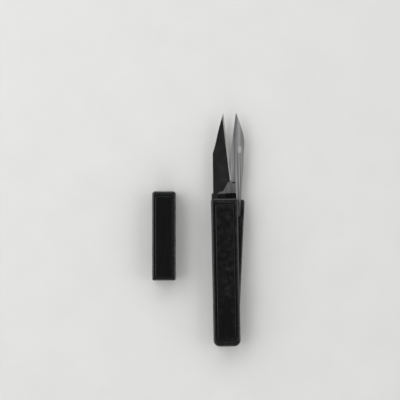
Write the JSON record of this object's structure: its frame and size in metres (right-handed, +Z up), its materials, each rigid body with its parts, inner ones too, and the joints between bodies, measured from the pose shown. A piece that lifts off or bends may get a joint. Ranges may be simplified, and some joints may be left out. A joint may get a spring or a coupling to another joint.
{
  "type": "thread snips",
  "caption": "Slim spring-open thread snips with a channel-shaped handle, a pivoting blade lever and a separate slip-on blade cap.",
  "frame": {"origin": "middle of the set's footprint, on the surface that the handle and cap lie on", "axes": "+Y along the handle towards the blade tips, +X towards the side where the lever opens, +Z up through the handle's front face"},
  "size_m": [0.036, 0.0888, 0.008],
  "materials": {
    "handle_nylon": "black nylon, fine satin texture",
    "panel_nylon": "black nylon, semi-gloss",
    "polished_steel": "mirror-polished stainless steel",
    "satin_steel": "satin-ground stainless steel",
    "spring_steel": "plain steel",
    "washer_nylon": "natural nylon"
  },
  "bodies": {
    "handle": {"front_shell": "handle_nylon", "rear_shell": "handle_nylon", "front_grip_panel": "panel_nylon", "rear_grip_panel": "panel_nylon", "upper_blade": "polished_steel", "upper_blade_rivet_front": "spring_steel", "upper_blade_rivet_rear": "spring_steel", "pivot_pin": "spring_steel", "pivot_washer_lower": "washer_nylon", "pivot_washer_upper": "washer_nylon", "stop_pin": "spring_steel", "return_spring": "spring_steel", "spring_rivet": "spring_steel"},
    "lever": {"lever_arm": "handle_nylon", "lower_blade": "satin_steel", "lower_blade_rivet_front": "spring_steel", "lower_blade_rivet_rear": "spring_steel"},
    "cap": {"cap_shell": "handle_nylon", "cap_front_panel": "panel_nylon", "cap_rear_panel": "panel_nylon"}
  },
  "joints": [
    {"name": "lever_pivot", "type": "hinge", "parent": "handle", "child": "lever", "pos_m": [0.01186, -0.03985, 0.004], "axis": [0, 0, 1], "range_deg": [0, 3.6], "stiffness_Nm_per_rad": 0.5, "springref_deg": -5.73, "deforming": ["return_spring"]},
    {"name": "cap_slide", "type": "slide", "parent": "handle", "child": "cap", "axis": [0.0192, 0.9998, 0], "range_m": [0, 0.065]}
  ]
}
